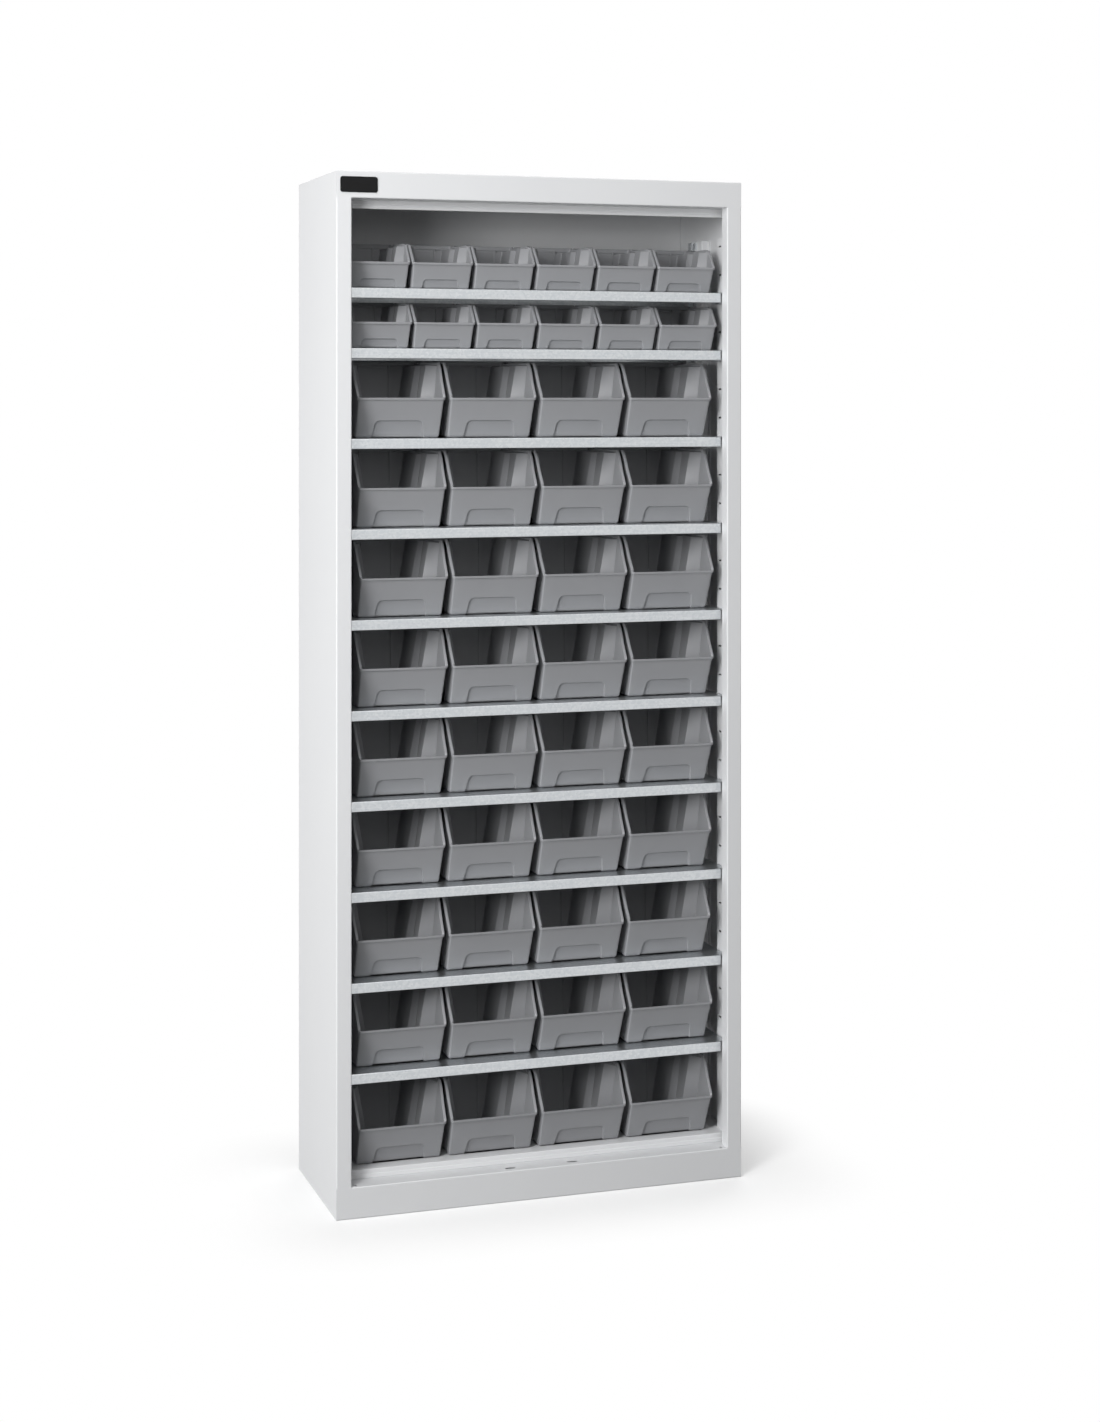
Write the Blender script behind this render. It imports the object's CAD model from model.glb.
"""Parts bin cabinet: finishes, detailed bins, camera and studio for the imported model.

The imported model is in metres, with the open front towards -Y. The bins are made again as finely
moulded shells in the places of the CAD bins; everything else keeps its CAD shape and is dressed.
"""

import logging
import math
from dataclasses import dataclass, field
from enum import Enum, IntEnum

import bpy
import numpy as np
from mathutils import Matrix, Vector


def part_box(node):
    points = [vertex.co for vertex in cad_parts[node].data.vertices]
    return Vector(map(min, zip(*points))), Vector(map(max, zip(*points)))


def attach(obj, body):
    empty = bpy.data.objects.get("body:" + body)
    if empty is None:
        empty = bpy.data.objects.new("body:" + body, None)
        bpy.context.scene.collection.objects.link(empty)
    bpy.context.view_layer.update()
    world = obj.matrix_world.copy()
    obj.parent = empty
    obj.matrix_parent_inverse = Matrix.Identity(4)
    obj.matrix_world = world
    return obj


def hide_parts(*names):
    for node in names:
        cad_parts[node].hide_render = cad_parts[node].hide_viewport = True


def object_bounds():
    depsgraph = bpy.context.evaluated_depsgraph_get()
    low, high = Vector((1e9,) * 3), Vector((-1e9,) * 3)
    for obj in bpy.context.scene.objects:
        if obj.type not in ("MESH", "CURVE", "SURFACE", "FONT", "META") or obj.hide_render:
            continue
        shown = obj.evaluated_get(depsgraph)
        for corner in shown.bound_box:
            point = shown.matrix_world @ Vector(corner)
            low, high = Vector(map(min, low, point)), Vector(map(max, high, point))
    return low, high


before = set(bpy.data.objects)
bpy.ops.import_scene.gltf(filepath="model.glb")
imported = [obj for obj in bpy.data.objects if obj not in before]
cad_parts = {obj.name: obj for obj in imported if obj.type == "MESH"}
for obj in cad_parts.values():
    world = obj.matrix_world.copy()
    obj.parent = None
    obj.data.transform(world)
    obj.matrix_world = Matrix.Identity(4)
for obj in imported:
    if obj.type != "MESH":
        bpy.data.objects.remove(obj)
CAD_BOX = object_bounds()

log = logging.getLogger("cabinet")

MM = 0.001
IMAGE_W, IMAGE_H = 1100, 1422
WHITE = (1.0, 1.0, 1.0, 1.0)


# ---------- colours and nodes ----------

def linear(hex_code: str) -> tuple[float, float, float, float]:
    """Turns an sRGB hex colour to linear RGBA.

    Args:
        hex_code: six hex digits after a hash.

    Returns:
        Red, green and blue by the sRGB curve, and an alpha of one.
    """
    values = [int(hex_code[i:i + 2], 16) / 255 for i in (1, 3, 5)]
    curve = [v / 12.92 if v <= 0.04045 else ((v + 0.055) / 1.055) ** 2.4 for v in values]
    return curve[0], curve[1], curve[2], 1.0


def add_node(tree: bpy.types.NodeTree, kind: str, settings: dict | None = None,
             inputs: dict | None = None) -> bpy.types.Node:
    """Adds a node to a tree, with its settings, its values and its links.

    Args:
        tree: the node tree.
        kind: the node's type name.
        settings: attributes of the node itself.
        inputs: for each input, by name or number, a value or the output socket that feeds it.

    Returns:
        The new node.
    """
    node = tree.nodes.new(kind)
    for name, value in (settings or {}).items():
        setattr(node, name, value)
    for name, value in (inputs or {}).items():
        if isinstance(value, bpy.types.NodeSocket):
            tree.links.new(value, node.inputs[name])
        else:
            node.inputs[name].default_value = value
    return node


def per_metre(size_mm: float) -> float:
    """Scale of a pattern on coordinates in metres whose features are size_mm apart."""
    return 1000.0 / size_mm


def shader_material(name: str) -> tuple[bpy.types.Material, bpy.types.NodeTree, bpy.types.Node]:
    """Makes an empty material with its principled shader.

    Args:
        name: the material's name.

    Returns:
        The material, its tree and the shader node.
    """
    material = bpy.data.materials.new(name)
    material.use_nodes = True
    tree = material.node_tree
    return material, tree, tree.nodes["Principled BSDF"]


def finish_shader(shader: bpy.types.Node, links: dict[str, bpy.types.NodeSocket],
                  values: dict[str, float]) -> None:
    """Feeds a finish's patterns to its shader and sets what is the same all over.

    Args:
        shader: the principled shader.
        links: the output that feeds each patterned input.
        values: the number for each input that has no pattern.
    """
    for name, socket in links.items():
        shader.id_data.links.new(socket, shader.inputs[name])
    for name, value in values.items():
        shader.inputs[name].default_value = value


# ---------- finishes ----------

@dataclass(frozen=True)
class PowderCoat:
    """Light grey polyester powder coat on folded steel sheet.

    Baked powder levels out to a soft satin skin with a faint orange peel, so highlights are broad
    and slightly broken.

    Args:
        name: the material's name.
        colour: the paint's lighter grey.
        shade: its darker grey.
        roughness: middle of the gloss.
        gloss_swing: how far the peel moves the roughness either way.
        peel_mm: size of the orange peel's dimples.
        peel_depth_mm: depth of the dimples.
        peel_strength: share of that depth that shows.
        cloud_mm: size of the slow clouds between the two greys.
        ior: refractive index of the resin.
    """
    name: str = "powder_coated_steel"
    colour: str = "#dbdcdd"
    shade: str = "#d7d8da"
    roughness: float = 0.42
    gloss_swing: float = 0.05
    peel_mm: float = 2.2
    peel_depth_mm: float = 0.08
    peel_strength: float = 0.12
    cloud_mm: float = 160.0
    ior: float = 1.5

    def make(self) -> bpy.types.Material:
        """Makes the material: two near greys in slow clouds, and an orange peel bump.

        Returns:
            The material.
        """
        material, tree, shader = shader_material(self.name)
        place = add_node(tree, "ShaderNodeTexCoord").outputs["Object"]
        clouds = add_node(tree, "ShaderNodeTexNoise", {}, {
            "Vector": place, "Scale": per_metre(self.cloud_mm), "Detail": 3.0})
        tint = add_node(tree, "ShaderNodeMix", {"data_type": "RGBA"}, {
            "Factor": clouds.outputs["Fac"], "A": linear(self.colour), "B": linear(self.shade)})
        peel = add_node(tree, "ShaderNodeTexNoise", {}, {
            "Vector": place, "Scale": per_metre(self.peel_mm), "Detail": 1.5})
        gloss = add_node(tree, "ShaderNodeMapRange", {}, {
            "Value": peel.outputs["Fac"], "To Min": self.roughness - self.gloss_swing,
            "To Max": self.roughness + self.gloss_swing})
        bump = add_node(tree, "ShaderNodeBump", {}, {
            "Height": peel.outputs["Fac"], "Strength": self.peel_strength,
            "Distance": self.peel_depth_mm * MM})
        finish_shader(shader, {
            "Base Color": tint.outputs["Result"], "Roughness": gloss.outputs["Result"],
            "Normal": bump.outputs["Normal"]}, {"IOR": self.ior})
        return material


@dataclass(frozen=True)
class Galvanised:
    """Hot-dip galvanised steel sheet, skin-passed.

    The zinc shows fine crystals of a slightly different grey, and rolling leaves short streaks
    along the sheet, so reflections are soft, cool and a little streaked. A skin-passed sheet's
    crystals are finer than a millimetre; they are drawn coarser, to show.

    Args:
        name: the material's name.
        colour: the lighter grey.
        crystal: the darker grey.
        roughness: middle of the gloss.
        gloss_down: how far the roughness falls in the lightest places.
        gloss_up: how far it rises in the darkest.
        crystal_mm: size of the crystals.
        crystal_share: how much the crystals count beside the streaks.
        streak_mm: width of the rolling streaks.
        streak_draw: scale along X that draws the streaks out.
        streak_depth_mm: depth of the streaks.
        streak_strength: share of that depth that shows.
        metallic: one for bare metal.
    """
    name: str = "galvanised_steel"
    colour: str = "#d8dadb"
    crystal: str = "#c0c4c7"
    roughness: float = 0.3
    gloss_down: float = 0.08
    gloss_up: float = 0.10
    crystal_mm: float = 3.5
    crystal_share: float = 0.55
    streak_mm: float = 2.5
    streak_draw: float = 0.04
    streak_depth_mm: float = 0.05
    streak_strength: float = 0.10
    metallic: float = 1.0

    def make(self) -> bpy.types.Material:
        """Makes the material: crystals by cells, and streaks by noise drawn out along X.

        Returns:
            The material.
        """
        material, tree, shader = shader_material(self.name)
        place = add_node(tree, "ShaderNodeTexCoord").outputs["Object"]
        cells = add_node(tree, "ShaderNodeTexVoronoi", {}, {
            "Vector": place, "Scale": per_metre(self.crystal_mm), "Randomness": 1.0})
        grey = add_node(tree, "ShaderNodeSeparateColor", {}, {"Color": cells.outputs["Color"]})
        drawn = add_node(tree, "ShaderNodeMapping", {}, {
            "Vector": place, "Scale": (self.streak_draw, 1.0, 1.0)})
        streaks = add_node(tree, "ShaderNodeTexNoise", {}, {
            "Vector": drawn.outputs["Vector"], "Scale": per_metre(self.streak_mm), "Detail": 3.0})
        both = add_node(tree, "ShaderNodeMath", {"operation": "MULTIPLY_ADD"}, {
            0: grey.outputs["Red"], 1: self.crystal_share, 2: streaks.outputs["Fac"]})
        tint = add_node(tree, "ShaderNodeMix", {"data_type": "RGBA"}, {
            "Factor": both.outputs["Value"], "A": linear(self.colour), "B": linear(self.crystal)})
        gloss = add_node(tree, "ShaderNodeMapRange", {}, {
            "Value": both.outputs["Value"], "To Min": self.roughness - self.gloss_down,
            "To Max": self.roughness + self.gloss_up})
        bump = add_node(tree, "ShaderNodeBump", {}, {
            "Height": streaks.outputs["Fac"], "Strength": self.streak_strength,
            "Distance": self.streak_depth_mm * MM})
        finish_shader(shader, {
            "Base Color": tint.outputs["Result"], "Roughness": gloss.outputs["Result"],
            "Normal": bump.outputs["Normal"]}, {"Metallic": self.metallic})
        return material


@dataclass(frozen=True)
class MouldedPlastic:
    """Mid grey polypropylene, injection moulded in a fine spark-eroded tool.

    The tool's grain leaves a matt skin, and the melt's flow leaves very faint streaks, so the
    plastic looks even, soft and slightly cool. The real grain is a fraction of a millimetre; it
    is drawn coarser, to show.

    Args:
        name: the material's name.
        colour: the plastic's lighter grey.
        flow: its darker grey.
        roughness: middle of the gloss.
        gloss_swing: how far the grain moves the roughness either way.
        grain_mm: size of the grain.
        grain_depth_mm: depth of the grain.
        grain_strength: share of that depth that shows.
        flow_mm: size of the flow's clouds.
        flow_draw: scale along Y that draws the clouds out.
        ior: refractive index of polypropylene.
    """
    name: str = "moulded_polypropylene"
    colour: str = "#97989b"
    flow: str = "#929396"
    roughness: float = 0.48
    gloss_swing: float = 0.06
    grain_mm: float = 0.9
    grain_depth_mm: float = 0.05
    grain_strength: float = 0.15
    flow_mm: float = 45.0
    flow_draw: float = 0.35
    ior: float = 1.49

    def make(self) -> bpy.types.Material:
        """Makes the material: faint flow clouds, and a fine grain in the bump and the gloss.

        Returns:
            The material.
        """
        material, tree, shader = shader_material(self.name)
        place = add_node(tree, "ShaderNodeTexCoord").outputs["Object"]
        drawn = add_node(tree, "ShaderNodeMapping", {}, {
            "Vector": place, "Scale": (1.0, self.flow_draw, 1.0)})
        clouds = add_node(tree, "ShaderNodeTexNoise", {}, {
            "Vector": drawn.outputs["Vector"], "Scale": per_metre(self.flow_mm), "Detail": 3.0})
        tint = add_node(tree, "ShaderNodeMix", {"data_type": "RGBA"}, {
            "Factor": clouds.outputs["Fac"], "A": linear(self.colour), "B": linear(self.flow)})
        grain = add_node(tree, "ShaderNodeTexNoise", {}, {
            "Vector": place, "Scale": per_metre(self.grain_mm), "Detail": 1.0})
        gloss = add_node(tree, "ShaderNodeMapRange", {}, {
            "Value": grain.outputs["Fac"], "To Min": self.roughness - self.gloss_swing,
            "To Max": self.roughness + self.gloss_swing})
        bump = add_node(tree, "ShaderNodeBump", {}, {
            "Height": grain.outputs["Fac"], "Strength": self.grain_strength,
            "Distance": self.grain_depth_mm * MM})
        finish_shader(shader, {
            "Base Color": tint.outputs["Result"], "Roughness": gloss.outputs["Result"],
            "Normal": bump.outputs["Normal"]}, {"IOR": self.ior})
        return material


@dataclass(frozen=True)
class BlackLabel:
    """Black acrylic film of the blank badge, smooth, with the fine wipe marks that film picks up.

    Args:
        name: the material's name.
        colour: the film's black.
        dust: the near-black of the wipe marks.
        roughness: middle of the gloss.
        gloss_down: how far the roughness falls between the marks.
        gloss_up: how far it rises on them.
        wipe_mm: width of a mark.
        wipe_draw: scale along X that draws the marks out.
        ior: refractive index of acrylic.
        specular: level of the film's reflection, low because the studio is white all round.
    """
    name: str = "black_acrylic"
    colour: str = "#121212"
    dust: str = "#1a1a1b"
    roughness: float = 0.45
    gloss_down: float = 0.06
    gloss_up: float = 0.08
    wipe_mm: float = 6.0
    wipe_draw: float = 0.2
    ior: float = 1.49
    specular: float = 0.12

    def make(self) -> bpy.types.Material:
        """Makes the material: near-black in two tones, its gloss broken by wipe marks.

        Returns:
            The material.
        """
        material, tree, shader = shader_material(self.name)
        place = add_node(tree, "ShaderNodeTexCoord").outputs["Object"]
        drawn = add_node(tree, "ShaderNodeMapping", {}, {
            "Vector": place, "Scale": (self.wipe_draw, 1.0, 1.0)})
        wipes = add_node(tree, "ShaderNodeTexNoise", {}, {
            "Vector": drawn.outputs["Vector"], "Scale": per_metre(self.wipe_mm), "Detail": 3.0})
        tint = add_node(tree, "ShaderNodeMix", {"data_type": "RGBA"}, {
            "Factor": wipes.outputs["Fac"], "A": linear(self.colour), "B": linear(self.dust)})
        gloss = add_node(tree, "ShaderNodeMapRange", {}, {
            "Value": wipes.outputs["Fac"], "To Min": self.roughness - self.gloss_down,
            "To Max": self.roughness + self.gloss_up})
        finish_shader(shader, {
            "Base Color": tint.outputs["Result"], "Roughness": gloss.outputs["Result"]},
            {"IOR": self.ior, "Specular IOR Level": self.specular})
        return material


# ---------- bins ----------

class BinKind(Enum):
    """The two mouldings."""
    SMALL = "small"
    LARGE = "large"


class Zone(IntEnum):
    """Runs of a bin's half plan; the side wall's own runs follow from SIDE on."""
    LABEL = 0
    LABEL_EDGE = 1
    FRONT = 2
    FRONT_CORNER = 3
    SIDE = 4


@dataclass(frozen=True)
class Pleat:
    """One step of a side wall towards the middle.

    Args:
        face_y: where the leaning face starts at the ledge, behind the lip, in mm.
        face_back: how far that start moves back for each mm further down.
        crest_y: the crest's place behind the lip.
        crest_in: how far the crest comes in at the ledge.
        foot_y: where the wall behind the crest has stepped back.
        foot_in: how far in it still is there, at the ledge.
    """
    face_y: float
    face_back: float
    crest_y: float
    crest_in: float
    foot_y: float
    foot_in: float


@dataclass(frozen=True)
class BinShape:
    """Sizes of one moulding, in mm, with x from its middle, y from its lip and z from its base.

    Args:
        lip: height of the front.
        mouth: how far the mouth's slope runs back.
        label_half: half width of the label recess.
        label_top: height of the recess.
        pleats: steps of the side walls, from front to back.
        front_lean: lean of the front from the vertical, in radians.
        draft: draft of the other walls, in radians.
        wall: thickness of the walls.
        rim_out: how far the rim stands out.
        rim_h: height of the rim.
        back_rise: how far the back rises above the side walls.
        ledge_drop: how far under the top the pleats end.
        scoop: depth of the scoop over each pleat's face.
        crest_lean: how far a crest comes further in for each mm down.
        front_round: outer radius of the front corners.
        rear_round: outer radius of the rear corners.
        base_round: radius round the base.
        mouth_round: radius of the mouth's upper corner.
        label_round: radius of the recess's upper corners.
        label_flare: how far the recess widens at its foot.
        label_in: depth of the recess.
        cove_h: height over which the recess reaches its depth.
        rib_x: place of a guide rib on the back wall.
        rib_w: width of the rib.
        rib_out: how far the rib stands out.
        groove_drop: how far under the top the back wall's groove starts.
        groove_h: height of the groove.
        groove_in: depth of the groove.
    """
    lip: float
    mouth: float
    label_half: float
    label_top: float
    pleats: tuple[Pleat, ...]
    front_lean: float = math.radians(23.7)
    draft: float = math.radians(1.33)
    wall: float = 2.2
    rim_out: float = 2.2
    rim_h: float = 4.0
    back_rise: float = 3.6
    ledge_drop: float = 4.0
    scoop: float = 2.6
    crest_lean: float = 0.151
    front_round: float = 2.8
    rear_round: float = 5.0
    base_round: float = 5.0
    mouth_round: float = 8.0
    label_round: float = 7.0
    label_flare: float = 4.0
    label_in: float = 4.4
    cove_h: float = 11.0
    rib_x: float = 26.0
    rib_w: float = 2.4
    rib_out: float = 1.4
    groove_drop: float = 6.7
    groove_h: float = 3.4
    groove_in: float = 1.5


SHAPES = {
    BinKind.LARGE: BinShape(67.5, 36.0, 41.0, 29.0, (
        Pleat(43.0, 0.26, 68.0, 12.6, 112.0, 9.5),
        Pleat(112.0, 0.0, 126.0, 16.0, 188.0, 18.6))),
    BinKind.SMALL: BinShape(43.5, 28.0, 29.5, 15.5, (
        Pleat(24.0, 0.26, 42.0, 9.5, 76.0, 7.0),
        Pleat(76.0, 0.0, 88.0, 12.5, 128.0, 14.0)),
        front_lean=math.radians(24.0), front_round=2.5, rear_round=4.5, base_round=4.0,
        rib_x=20.0, label_round=3.5, label_flare=3.0)}

# Samples along the label's face, its edge, the rest of the front and the front corner
FRONT_STEPS = (6, 4, 4, 6)
# Samples along the rear corner and the five runs of the back wall
BACK_STEPS = (5, 4, 3, 3, 3, 5)
# Spacing of the side wall's samples, and the distance of the outer ones from a run's ends
SIDE_STEP, SIDE_EDGE = 9.0, 1.1
# Rows round the base's edge, outside and inside
ROUND_STEPS = 5
# Half width of the soft edge round the label, and the height over which its top edge falls in
LABEL_SOFT, LABEL_FALL = 0.45, 0.9
# Share of the label's depth right under its top edge
COVE_START = 0.62
# Height over which the pleats die out at their ledge
LEDGE_SOFT = 1.6
# A corner never gets sharper than this
LEAST_RADIUS = 0.4
# How much of a crest's lean the wall behind it shares
FOOT_LEAN = 0.8
# Least length of the plain wall before the first pleat, and of that pleat's face
PLAIN_LEAST, FACE_LEAST = 1.5, 1.0
# Width of a guide rib's slanted sides, how far over the floor it starts and under the top it ends
RIB_SOFT, RIB_START, RIB_END = 0.5, 1.0, 2.0
# The rim's rounded edges: how far under the top and how far in from the face each row lies
RIM_ROUND = ((0.7, 0.0), (0.2, 0.25), (0.0, 0.9))
# The rounding under the rim: its height, and the share of the rim's overhang where it starts
RIM_FOOT, RIM_FOOT_OUT = 0.25, 0.85
# Length over which the rim steps up to the back
BACK_STEP = 2.0
# How far under the rim's top the inner wall's rows stay, and how much less its foot is rounded
RIM_CLEAR, FLOOR_ROUND_LESS = 1.6, 1.0
# Rows of a wall round the label's top edge, round the groove's lower edge and round the ledge
LABEL_ROWS = (-6, -4, -2, -0.8, 0, 0.8, 3)
GROOVE_ROWS = (-1.5, -0.15, 0.15)
LEDGE_ROWS = (-0.8, -0.3, 0.3, 0.8)
# Evenly spaced rows between the label and the lip, and between the lip and the groove
FRONT_ROWS, WALL_ROWS = 3, 4
# Rows squeezed under a wall's top keep this far apart
ROW_GAP = 0.05
# Height over which the rows start to follow the ledge's scoops
FOLLOW = 8.0
# Edges sharper than this stay crisp
CRISP = math.radians(38)


def ease(t: np.ndarray | float) -> np.ndarray:
    """Smooth step of t from 0 to 1: 3t^2 - 2t^3 between the ends, flat outside them."""
    t = np.clip(t, 0.0, 1.0)
    return t * t * (3 - 2 * t)


def segment(a: float, b: float) -> np.ndarray:
    """Spreads samples along a run of the side wall, evenly but with one close to each end.

    Args:
        a: where the run starts, in mm.
        b: where it ends.

    Returns:
        Fractions from 0 up to but not 1.
    """
    length = max(b - a, 3 * SIDE_EDGE)
    count = max(2, int((b - a) / SIDE_STEP))
    inner = np.linspace(SIDE_EDGE / length, 1 - SIDE_EDGE / length, count)
    return np.concatenate([[0.0], inner])


@dataclass
class Bin:
    """One open-fronted bin, made as a moulded shell in the place of its CAD solid.

    The shell is a grid. Its columns are samples round the plan, each given by a zone and a
    fraction along it, worked out for the right-hand half and mirrored. Its rows are heights, each
    with an offset inwards from the outer face.

    Args:
        node: name of the CAD bin.
        kind: which moulding it is.
        shape: sizes of that moulding.
        origin: middle of the lip's edge at the height of the base, in mm.
        height: height of the side walls.
        length: from the lip to the back's outer face at its top.
        base_half: half width at the base.
    """
    node: str
    kind: BinKind
    shape: BinShape = field(init=False)
    origin: np.ndarray = field(init=False)
    height: float = field(init=False)
    length: float = field(init=False)
    base_half: float = field(init=False)

    def __post_init__(self) -> None:
        """Takes the bin's place and overall size from the CAD box."""
        lo, hi = (np.array(c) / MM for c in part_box(self.node))
        s = SHAPES[self.kind]
        self.shape = s
        lip_y = lo[1] + s.rim_out / math.cos(s.front_lean)
        self.origin = np.array([(lo[0] + hi[0]) / 2, lip_y, lo[2]])
        self.height = hi[2] - lo[2] - s.back_rise
        self.length = hi[1] - self.origin[1] - s.rim_out
        self.base_half = (hi[0] - lo[0]) / 2 - s.rim_out - self.height * math.tan(s.draft)

    def half_plan(self) -> tuple[np.ndarray, np.ndarray]:
        """Lists the samples of the half plan, from the middle of the front to that of the back.

        Returns:
            The zone of each sample and its fraction along the zone. After the zones of the front
            come the side wall's runs between its knots, the rear corner, and the back wall's runs
            to the guide rib, over it and on to the middle.
        """
        zones, parts = [], []

        def run(values: np.ndarray) -> None:
            """Appends one zone with these fractions."""
            zones.append(np.full(len(values), len(zones)))
            parts.append(values)

        for n in FRONT_STEPS:
            run(np.linspace(0, 1, n + 1)[:-1])
        knots = self.side_knots(np.array([[self.height]]))[0]
        for a, b in zip(knots, knots[1:]):
            run(segment(float(a[0, 0]), float(b[0, 0])))
        for n in BACK_STEPS[:-1]:
            run(np.linspace(0, 1, n + 1)[:-1])
        run(np.linspace(0, 1, BACK_STEPS[-1] + 1))
        return np.concatenate(zones), np.concatenate(parts)

    def front_y(self, z: np.ndarray) -> np.ndarray:
        """The front's place at height z: on the lip's edge above it, leaning back below it."""
        return np.maximum(self.shape.lip - z, 0) * math.tan(self.shape.front_lean)

    def rear_y(self, z: np.ndarray) -> np.ndarray:
        """The back wall's outer face at height z, drafted from its top."""
        s = self.shape
        return self.length - (self.height + s.back_rise - z) * math.tan(s.draft)

    def side_knots(self, z: np.ndarray) -> tuple[list[np.ndarray], list[np.ndarray]]:
        """Works out the knots of the side wall at height z.

        The wall runs straight to the first pleat's face, in along it to its crest, and back out
        behind it to its foot, where the next face starts. Crests come further in lower down, in
        proportion to the depth under the ledge.

        Args:
            z: heights.

        Returns:
            For each knot, its y and how far the wall has come in there.
        """
        s = self.shape
        down = np.maximum(self.height - s.ledge_drop - z, 0)
        lean = s.crest_lean * down
        front = self.front_y(z) + s.front_round
        rear = self.rear_y(z) - s.rear_round
        first, last = s.pleats[0], s.pleats[-1]
        face = np.maximum(first.face_y + first.face_back * down, front + PLAIN_LEAST)
        ys = [front, np.minimum(face, first.crest_y - FACE_LEAST)]
        ins = [np.zeros_like(z), np.zeros_like(z)]
        for p in s.pleats:
            ys.append(np.full_like(z, p.crest_y))
            ins.append(p.crest_in + lean)
            ys.append(rear if p is last else np.minimum(np.full_like(z, p.foot_y), rear))
            ins.append(p.foot_in + lean * (1.0 if p is last else FOOT_LEAN))
        return ys, ins

    def plan(self, zone: np.ndarray, part: np.ndarray, z: np.ndarray,
             off: np.ndarray) -> tuple[np.ndarray, np.ndarray]:
        """Works out the half plan's samples at heights z, offset inwards by off.

        The front and back are straight runs, the corners are arcs whose radius shrinks by off,
        and the side is a chain of straight runs between its knots, each moved in by off.

        Args:
            zone: zone of each sample.
            part: fraction of each sample along its zone.
            z: heights, one row for each level and one column for each sample.
            off: inward offsets of the same shape.

        Returns:
            x and y of the same shape.
        """
        s = self.shape
        half = self.base_half + z * math.tan(s.draft)
        ys, ins = self.side_knots(z)
        rear_corner = Zone.SIDE + len(ys) - 1
        on = ease((self.height - s.ledge_drop - self.dip(zone, part) - z) / LEDGE_SOFT + 0.5)
        runs = dict(enumerate(self.front_runs(part, z, off, half)))
        runs[Zone.FRONT_CORNER] = self.front_corner(part, z, off, half)
        for k in range(len(ys) - 1):
            inset = ins[k] + (ins[k + 1] - ins[k]) * part
            runs[Zone.SIDE + k] = (half - inset * on - off, ys[k] + (ys[k + 1] - ys[k]) * part)
        end = half - ins[-1] * on - s.rear_round
        runs[rear_corner] = self.rear_corner(part, z, off, end)
        for k, run in enumerate(self.back_runs(part, z, off, end)):
            runs[rear_corner + 1 + k] = run
        x, y = np.zeros_like(z), np.zeros_like(z)
        for which, (new_x, new_y) in runs.items():
            x = np.where(zone == which, new_x, x)
            y = np.where(zone == which, new_y, y)
        return x, y

    def front_runs(self, part: np.ndarray, z: np.ndarray, off: np.ndarray,
                   half: np.ndarray) -> list[tuple[np.ndarray, np.ndarray]]:
        """Works out the front: the label's face, its edge and the plain wall beside it.

        The recess is rounded at its top corners by a quarter circle, widens in a straight line
        to its foot, and reaches its depth down a smooth cove. Round the base the label's face
        stays where it is, so the recess runs out at the bottom.

        Args:
            part: fraction of each sample along its zone.
            z: heights.
            off: inward offsets.
            half: half width at each height.

        Returns:
            x and y of each of the three runs.
        """
        s = self.shape
        bend = np.clip(z - (s.label_top - s.label_round), 0, s.label_round)
        round_x = np.sqrt(np.maximum(s.label_round ** 2 - bend ** 2, 0))
        edge = s.label_half - s.label_round + round_x \
            + s.label_flare * np.clip(1 - z / s.label_top, 0, 1)
        under = s.label_top - z
        cove = COVE_START + (1 - COVE_START) * ease(under / s.cove_h)
        face = ease(under / LABEL_FALL + 0.5) * cove
        stops = [np.zeros_like(z), edge - LABEL_SOFT, edge + LABEL_SOFT, half - s.front_round]
        low = (z < s.base_round) & (off > 0) & (off < s.wall)
        runs = []
        for k, in_face in enumerate((1.0, 1 - ease(part), 0.0)):
            kept = np.where(low, off * (1 - in_face), off)
            runs.append((stops[k] + (stops[k + 1] - stops[k]) * part,
                         self.front_y(z) + kept / math.cos(s.front_lean)
                         + s.label_in * (face * in_face)))
        return runs

    def front_corner(self, part: np.ndarray, z: np.ndarray, off: np.ndarray,
                     half: np.ndarray) -> tuple[np.ndarray, np.ndarray]:
        """Works out the front corner: a quarter circle, eased into the leaning front's offset.

        Args:
            part: fraction of each sample along the corner.
            z: heights.
            off: inward offsets.
            half: half width at each height.

        Returns:
            x and y.
        """
        s = self.shape
        angle = -math.pi / 2 + part * math.pi / 2
        radius = np.maximum(s.front_round - off, LEAST_RADIUS)
        spare = s.front_round - off - radius
        leaning = off / math.cos(s.front_lean) - off
        return (half - s.front_round + spare + radius * np.cos(angle),
                self.front_y(z) + s.front_round - spare + radius * np.sin(angle)
                + leaning * -np.sin(angle))

    def rear_corner(self, part: np.ndarray, z: np.ndarray, off: np.ndarray,
                    end: np.ndarray) -> tuple[np.ndarray, np.ndarray]:
        """Works out the rear corner: a quarter circle from the side wall to the back.

        Args:
            part: fraction of each sample along the corner.
            z: heights.
            off: inward offsets.
            end: x of the corner's centre.

        Returns:
            x and y.
        """
        r = self.shape.rear_round
        angle = part * math.pi / 2
        radius = np.maximum(r - off, LEAST_RADIUS)
        spare = r - off - radius
        return (end + spare + radius * np.cos(angle),
                self.rear_y(z) - r + spare + radius * np.sin(angle))

    def back_runs(self, part: np.ndarray, z: np.ndarray, off: np.ndarray,
                  end: np.ndarray) -> list[tuple[np.ndarray, np.ndarray]]:
        """Works out the back wall, with the guide rib and the groove on its inside.

        Args:
            part: fraction of each sample along its zone.
            z: heights.
            off: inward offsets.
            end: x where the back wall leaves the rear corner.

        Returns:
            x and y of the runs: to the rib, up its side, over it, down its side, to the middle.
        """
        s = self.shape
        places = (s.rib_x + s.rib_w + RIB_SOFT, s.rib_x + s.rib_w, s.rib_x, s.rib_x - RIB_SOFT)
        stops = [end, *(np.full_like(z, x) for x in places), np.zeros_like(z)]
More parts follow.
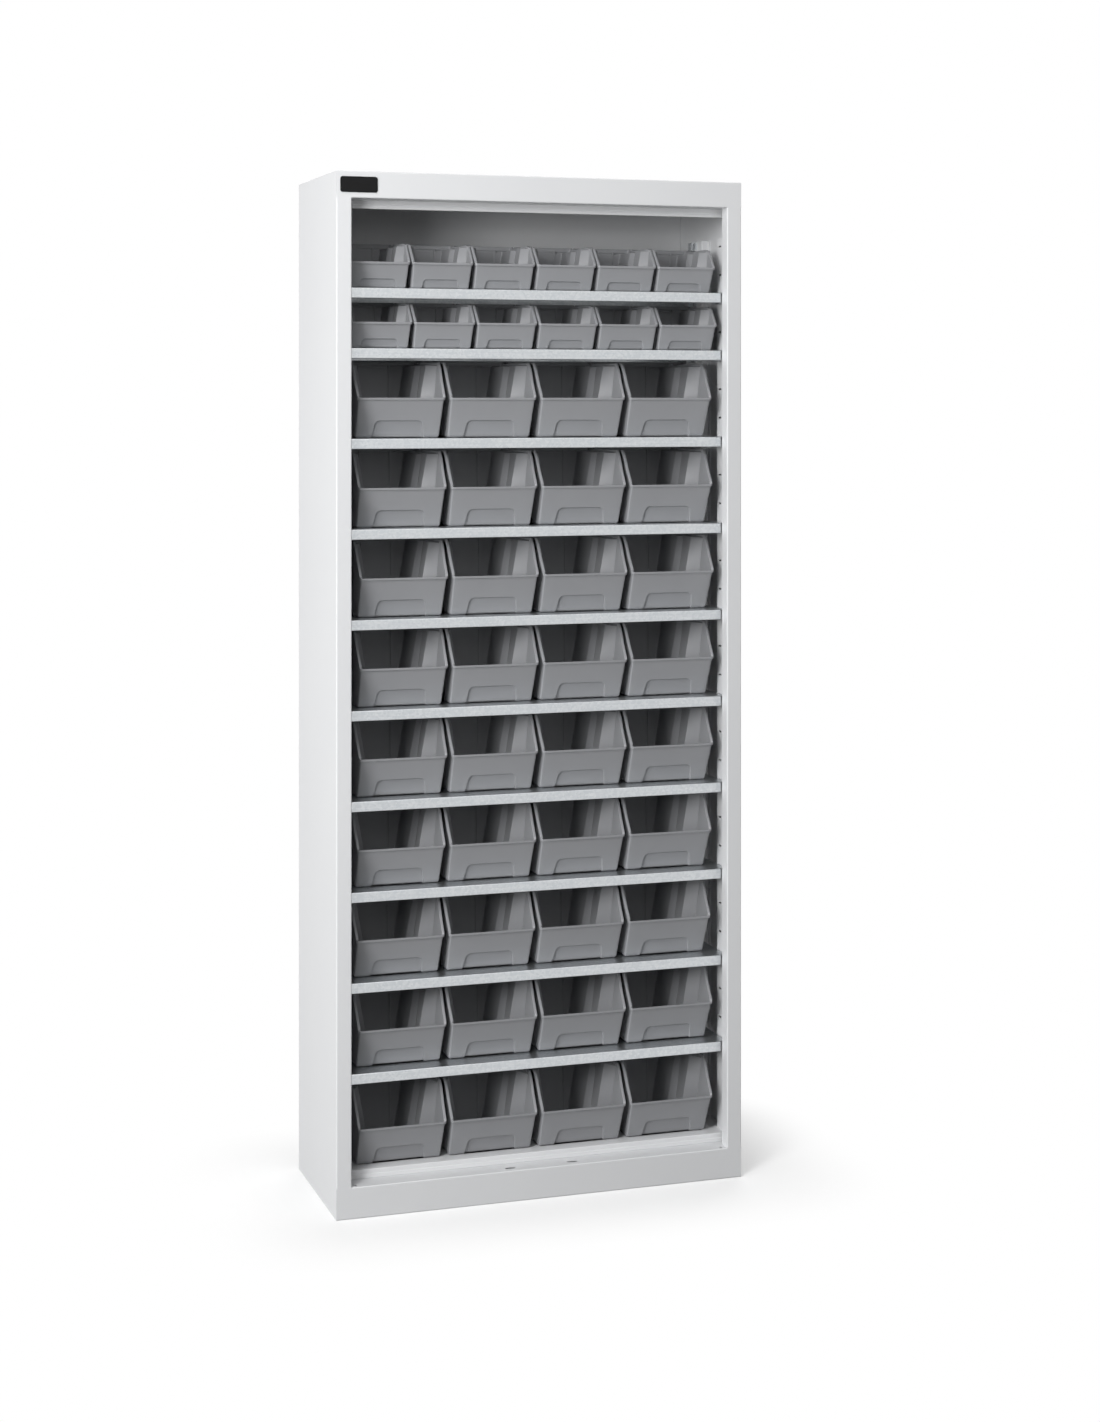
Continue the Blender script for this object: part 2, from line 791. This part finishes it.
        # the inner face only, from just above the floor
        inside = (off >= s.wall - 0.01) & (z < self.height - RIB_END) & (z > s.wall + RIB_START)
        low = self.height - s.groove_drop
        cut = inside & (z > low) & (z < low + s.groove_h)
        runs = []
        for k, out in enumerate((0.0, part, 1.0, 1 - part, 0.0)):
            y = self.rear_y(z) - off - np.where(inside, s.rib_out * out, 0)
            if k in (0, len(places)):
                y = np.where(cut, y + s.groove_in, y)
            runs.append((stops[k] + (stops[k + 1] - stops[k]) * part, y))
        return runs

    def dip(self, zone: np.ndarray, part: np.ndarray) -> np.ndarray:
        """How far the pleats' ledge is scooped out over each leaning face: half a sine wave."""
        faces = [Zone.SIDE + 1 + 2 * k for k in range(len(self.shape.pleats))]
        return self.shape.scoop * np.sin(math.pi * part) * np.isin(zone, faces)

    def rim_top(self, zone: np.ndarray, part: np.ndarray) -> tuple[np.ndarray, np.ndarray]:
        """Works out the top of the rim at each sample, and the height of its band there.

        The mouth rises in a straight line from the lip to the side walls' top and turns there on
        an arc; the back stands a step higher. On the slope the band is taller by one over the
        slope's cosine, so that it is as wide as elsewhere.

        Args:
            zone: zone of each sample.
            part: fraction of each sample.

        Returns:
            The top's height and the band's height.
        """
        s = self.shape
        z = np.full((1, len(zone)), self.height)
        y = self.plan(zone, part, z, np.zeros_like(z))[1][0]
        slope = math.atan2(self.height - s.lip, s.mouth)
        taller = 1 / math.cos(slope)
        tangent = s.mouth_round * math.tan(slope / 2)
        start, centre = s.mouth - tangent * math.cos(slope), s.mouth + tangent
        line = s.lip + y * math.tan(slope)
        arc = self.height - s.mouth_round \
            + np.sqrt(np.maximum(s.mouth_round ** 2 - (y - centre) ** 2, 0))
        top = np.where(y < start, line, np.where(y < centre, arc, self.height))
        top = np.minimum(top, self.height)
        behind = y - (self.length - s.rear_round - BACK_STEP)
        top = top + s.back_rise * ease(behind / BACK_STEP)
        band = s.rim_h * np.where(y < start, taller, 1.0)
        begun = np.clip(y / s.front_round, 0, 1)
        band = np.where(y < s.front_round, s.rim_h + (band - s.rim_h) * begun, band)
        mix = ease((y - start) / (centre - start + 1e-6))
        on_arc = (y >= start) & (y < centre)
        band = np.where(on_arc, s.rim_h * (taller * (1 - mix) + mix), band)
        return np.maximum(top, s.lip), band

    def shell(self) -> tuple[np.ndarray, int]:
        """Works out the whole shell as a grid of points.

        Rows run from the middle of the base out over its rounded edge, up the outside, round the
        rim, down the inside and over the floor; columns run round the plan.

        Returns:
            The points as rows of columns of x, y, z, in mm, and the number of columns of the
            right-hand half.
        """
        s = self.shape
        zone, part = self.half_plan()
        top, band = self.rim_top(zone, part)
        dip = self.dip(zone, part)
        n = len(zone)
        rows_z: list[np.ndarray] = []
        rows_off: list[np.ndarray] = []

        def row(z: np.ndarray | float, off: float) -> None:
            """Adds a row at height z with one offset."""
            rows_z.append(np.broadcast_to(np.asarray(z, float), (n,)).copy())
            rows_off.append(np.full(n, off))

        quarter = np.linspace(0, math.pi / 2, ROUND_STEPS)
        for a in quarter[::-1]:
            row(s.base_round * (1 - math.sin(a)), s.base_round * (1 - math.cos(a)))
        under = top - band
        for z in self.levels(under, s.base_round, dip):
            row(z, 0.0)
        row(under, 0.0)
        row(under, -s.rim_out * RIM_FOOT_OUT)
        row(under + RIM_FOOT, -s.rim_out)
        for drop, inwards in RIM_ROUND:
            row(top - drop, -s.rim_out + inwards)
        for drop, inwards in reversed(RIM_ROUND):
            row(top - drop, s.wall - inwards)
        floor_round = s.base_round - FLOOR_ROUND_LESS
        for z in reversed(self.levels(top - RIM_CLEAR, s.wall + floor_round, dip)):
            row(z, s.wall)
        for a in quarter:
            row(s.wall + floor_round * (1 - math.sin(a)),
                s.wall + floor_round * (1 - math.cos(a)))
        z, off = np.array(rows_z), np.array(rows_off)
        x, y = self.plan(zone, part, z, off)
        grid = np.stack([x, y, z], axis=-1)
        mirrored = grid[:, -2:0:-1] * np.array([-1.0, 1.0, 1.0])
        return np.concatenate([grid, mirrored], axis=1), n

    def levels(self, top: np.ndarray, low: float, dip: np.ndarray) -> list[np.ndarray]:
        """Works out a wall's rows: at the label's edge, the groove and the ledge, and between.

        Every row is capped just under the wall's own top, in order, so rows never cross.

        Args:
            top: highest place of the wall at each sample.
            low: where the wall starts.
            dip: how far the ledge lies lower at each sample, which the rows next to it follow.

        Returns:
            The rows, lowest first.
        """
        s = self.shape
        ledge = self.height - s.ledge_drop
        groove = self.height - s.groove_drop
        marks = [low + 2.0] + [s.label_top + step for step in LABEL_ROWS]
        marks = [m for m in marks if m > low + 0.5]
        # evenly from the label to under the lip's rim, and from the lip to under the groove
        marks += list(np.linspace(s.label_top + 8, s.lip - s.rim_h - 1, FRONT_ROWS))
        marks += list(np.linspace(s.lip + 2, groove - 5, WALL_ROWS))
        marks += [groove + step for step in GROOVE_ROWS]
        marks += [ledge + step for step in LEDGE_ROWS]
        marks += [groove + s.groove_h + 1.5]
        rows = []
        for i, m in enumerate(marks):
            cap = top - ROW_GAP * (len(marks) - i)
            follow = ease((m - (groove - FOLLOW)) / FOLLOW)
            rows.append(np.minimum(m - dip * follow, cap))
        return rows

    def build(self) -> bpy.types.Object:
        """Makes the shell's mesh: quads between the rows, and strips that close base and floor.

        Returns:
            The object, at the origin.
        """
        grid, half = self.shell()
        rows, cols = grid.shape[:2]
        points = (grid.reshape(-1, 3) + self.origin) * MM
        i = np.arange(rows - 1)[:, None] * cols
        j = np.arange(cols)[None, :]
        k = (j + 1) % cols
        quads = np.stack([i + j, i + k, i + cols + k, i + cols + j], axis=-1).reshape(-1, 4)
        faces = quads.tolist()
        # each column of the right half joins its mirror image; the two ends are triangles
        right = np.arange(half)
        left = (cols - right) % cols
        strip = np.stack([right[:-1], right[1:], left[1:], left[:-1]], axis=-1)
        for start, flip in ((0, True), ((rows - 1) * cols, False)):
            ring = strip + start
            closed = [ring[0, :3].tolist(), *ring[1:-1].tolist(), ring[-1, [0, 1, 3]].tolist()]
            faces += [face[::-1] for face in closed] if flip else closed
        mesh = bpy.data.meshes.new(self.node + "_shell")
        mesh.from_pydata(points.tolist(), [], faces)
        mesh.polygons.foreach_set("use_smooth", [True] * len(mesh.polygons))
        mesh.set_sharp_from_angle(angle=CRISP)
        mesh.validate()
        piece = bpy.data.objects.new(self.node + "_moulding", mesh)
        bpy.context.scene.collection.objects.link(piece)
        return piece


@dataclass
class BinRows:
    """All the bins, each on its own slide.

    Args:
        plastic: the finish of every bin.
    """
    plastic: MouldedPlastic = MouldedPlastic()

    def build(self) -> None:
        """Replaces each CAD bin by its moulded shell and dresses it."""
        material = self.plastic.make()
        for name in sorted(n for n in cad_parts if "_bin_" in n):
            piece = Bin(name, BinKind(name.split("_")[0])).build()
            piece.data.materials.append(material)
            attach(piece, name)
            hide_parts(name)
            log.info("%s: %d faces", piece.name, len(piece.data.polygons))


# ---------- carcass ----------

@dataclass
class Carcass:
    """The folded steel parts and their trim, which keep their CAD shapes.

    Args:
        paint: finish of the painted sheets.
        zinc: finish of the shelves and their clips.
        badge: finish of the blank badge.
    """
    paint: PowderCoat = PowderCoat()
    zinc: Galvanised = Galvanised()
    badge: BlackLabel = BlackLabel()

    def build(self) -> None:
        """Gives each CAD node that stays the finish of its real part."""
        paint, zinc, badge = self.paint.make(), self.zinc.make(), self.badge.make()
        finish = {"shelves": zinc, "shelf_clips": zinc, "badge_plate": badge}
        for name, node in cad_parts.items():
            if "_bin_" in name:
                continue
            node.data.materials.clear()
            node.data.materials.append(finish.get(name, paint))
            log.info("%s: %s", name, node.data.materials[0].name)


# ---------- studio ----------

@dataclass(frozen=True)
class SoftBox:
    """A rectangular lamp.

    Args:
        name: the lamp's name.
        place: its middle, in metres.
        aim: the point it faces.
        size: its width and height in metres.
        watts: its power.
    """
    name: str
    place: tuple[float, float, float]
    aim: tuple[float, float, float]
    size: tuple[float, float]
    watts: float

    def build(self) -> None:
        """Adds the lamp to the scene."""
        light = bpy.data.lights.new(self.name, "AREA")
        light.shape = "RECTANGLE"
        light.size, light.size_y = self.size
        light.energy = self.watts
        lamp = bpy.data.objects.new(self.name, light)
        lamp.location = self.place
        lamp.rotation_mode = "QUATERNION"
        facing = Vector(self.aim) - Vector(self.place)
        lamp.rotation_quaternion = facing.to_track_quat("-Z", "Y")
        bpy.context.scene.collection.objects.link(lamp)


# The key from the left, a high light, a side light, a fill, a top light and one from behind
SOFT_BOXES = (
    SoftBox("key", (-3.0, -2.9, 1.9), (0.0, 0.0, 1.1), (1.2, 1.6), 110),
    SoftBox("high", (-2.0, -2.6, 3.2), (0.0, 0.0, 1.0), (1.2, 1.2), 41),
    SoftBox("side", (-3.2, -0.7, 0.8), (0.0, -0.1, 0.7), (2.0, 1.6), 30),
    SoftBox("fill", (-1.0, -4.4, 2.2), (0.0, 0.0, 1.2), (2.0, 1.0), 13),
    SoftBox("top", (0.0, -0.6, 4.2), (0.0, 0.0, 0.0), (3.0, 3.0), 36),
    SoftBox("rear", (2.2, 3.4, 2.6), (0.0, 0.0, 0.9), (3.0, 2.4), 70))


@dataclass
class Studio:
    """Floor, surround, lamps and camera.

    Args:
        floor_size: length of the floor's sides, in metres.
        fade: distance from the cabinet over which its shadow fades to plain white.
        shadow_share: how much of the lit floor shows right beside the cabinet.
        floor_colour: the paper as the camera sees it.
        bounce_colour: the paper as it lights the cabinet.
        ambient: strength of the surround as light.
        focal_px: focal length in pixels of the photograph.
        horizon_px: row of the horizon in the photograph.
        sensor: height of the camera's sensor, in mm.
        camera_at: place of the camera, in metres.
        camera_turn: its turn about the vertical in degrees, negative to the right.
    """
    floor_size: float = 16.0
    fade: float = 0.26
    shadow_share: float = 0.72
    floor_colour: str = "#ffffff"
    bounce_colour: str = "#8a8a8a"
    ambient: float = 0.16
    focal_px: float = 2419.3
    horizon_px: float = 399.4
    sensor: float = 36.0
    camera_at: tuple[float, float, float] = (-1.2731, -4.0112, 1.3450)
    camera_turn: float = -18.348

    def seen(self, tree: bpy.types.NodeTree) -> bpy.types.NodeSocket:
        """Tells what is looked at from what only gives light.

        Args:
            tree: the node tree to add the test to.

        Returns:
            An output that is one for rays from the camera, in reflections and through glass, and
            nought for others.
        """
        path = add_node(tree, "ShaderNodeLightPath").outputs
        mirrored = add_node(tree, "ShaderNodeMath", {"operation": "MAXIMUM"}, {
            0: path["Is Glossy Ray"], 1: path["Is Transmission Ray"]})
        return add_node(tree, "ShaderNodeMath", {"operation": "MAXIMUM"}, {
            0: path["Is Camera Ray"], 1: mirrored.outputs["Value"]}).outputs["Value"]

    def floor_material(self) -> bpy.types.Material:
        """Makes the floor's material.

        The camera sees plain white, except that the lit paper and its shadows show through close
        to the cabinet: their share falls to nothing over the fade's length from its footprint.

        Returns:
            The material.
        """
        material = bpy.data.materials.new("studio_paper")
        material.use_nodes = True
        tree = material.node_tree
        tree.nodes.clear()
        place = add_node(tree, "ShaderNodeTexCoord").outputs["Object"]
        lo, hi = CAD_BOX
        footprint = ((hi[0] - lo[0]) / 2, (hi[1] - lo[1]) / 2, 1.0)
        away = add_node(tree, "ShaderNodeVectorMath", {"operation": "ABSOLUTE"}, {0: place})
        past = add_node(tree, "ShaderNodeVectorMath", {"operation": "SUBTRACT"}, {
            0: away.outputs["Vector"], 1: footprint})
        out = add_node(tree, "ShaderNodeVectorMath", {"operation": "MAXIMUM"}, {
            0: past.outputs["Vector"], 1: (0.0, 0.0, 0.0)})
        gap = add_node(tree, "ShaderNodeVectorMath", {"operation": "LENGTH"}, {
            0: out.outputs["Vector"]})
        near = add_node(tree, "ShaderNodeMapRange", {"interpolation_type": "SMOOTHSTEP"}, {
            "Value": gap.outputs["Value"], "From Min": 0.0, "From Max": self.fade,
            "To Min": self.shadow_share, "To Max": 0.0})
        bounce = add_node(tree, "ShaderNodeBsdfDiffuse", {}, {"Color": linear(self.bounce_colour)})
        paper = add_node(tree, "ShaderNodeBsdfDiffuse", {}, {"Color": linear(self.floor_colour)})
        white = add_node(tree, "ShaderNodeEmission", {}, {"Color": WHITE, "Strength": 1.0})
        shown = add_node(tree, "ShaderNodeMixShader", {}, {
            "Fac": near.outputs["Result"], 1: white.outputs["Emission"], 2: paper.outputs["BSDF"]})
        both = add_node(tree, "ShaderNodeMixShader", {}, {
            "Fac": self.seen(tree), 1: bounce.outputs["BSDF"], 2: shown.outputs["Shader"]})
        add_node(tree, "ShaderNodeOutputMaterial", {}, {"Surface": both.outputs["Shader"]})
        return material

    def floor(self) -> None:
        """Builds a flat square floor of white paper and keeps it out of the export."""
        half = self.floor_size / 2
        corners = [(-half, -half, 0.0), (half, -half, 0.0), (half, half, 0.0), (-half, half, 0.0)]
        mesh = bpy.data.meshes.new("floor")
        mesh.from_pydata(corners, [], [[0, 1, 2, 3]])
        mesh.materials.append(self.floor_material())
        floor = bpy.data.objects.new("floor", mesh)
        bpy.context.scene.collection.objects.link(floor)

    def world(self) -> None:
        """Sets an even pale surround: white to the camera and in reflections, softer as light."""
        world = bpy.data.worlds.new("studio")
        bpy.context.scene.world = world
        world.use_nodes = True
        tree = world.node_tree
        tree.nodes.clear()
        level = add_node(tree, "ShaderNodeMapRange", {}, {
            "Value": self.seen(tree), "To Min": self.ambient, "To Max": 1.0})
        sky = add_node(tree, "ShaderNodeBackground", {}, {
            "Color": WHITE, "Strength": level.outputs["Result"]})
        add_node(tree, "ShaderNodeOutputWorld", {}, {"Surface": sky.outputs["Background"]})

    def camera(self) -> None:
        """Sets the photograph's view: level, turned to the right, with the lens raised.

        The focal length in image heights and the row of the horizon give the lens and the shift.
        """
        data = bpy.data.cameras.new("camera")
        data.sensor_fit = "VERTICAL"
        data.sensor_height = self.sensor
        data.sensor_width = self.sensor * IMAGE_W / IMAGE_H
        data.lens = self.sensor * self.focal_px / IMAGE_H
        data.shift_y = -(IMAGE_H / 2 - self.horizon_px) / IMAGE_H
        camera = bpy.data.objects.new("camera", data)
        camera.location = self.camera_at
        camera.rotation_euler = (math.radians(90), 0.0, math.radians(self.camera_turn))
        bpy.context.scene.collection.objects.link(camera)
        bpy.context.scene.camera = camera

    def build(self) -> None:
        """Builds the studio."""
        self.floor()
        self.world()
        for box in SOFT_BOXES:
            box.build()
        self.camera()
        bpy.context.scene.view_settings.view_transform = "Standard"
        log.info("studio: floor, surround, %d lamps and camera", len(SOFT_BOXES))


def main() -> None:
    """Builds everything in order."""
    logging.basicConfig(level=logging.INFO, format="%(name)s %(message)s")
    Studio().build()
    Carcass().build()
    BinRows().build()


if __name__ == "__main__":
    main()
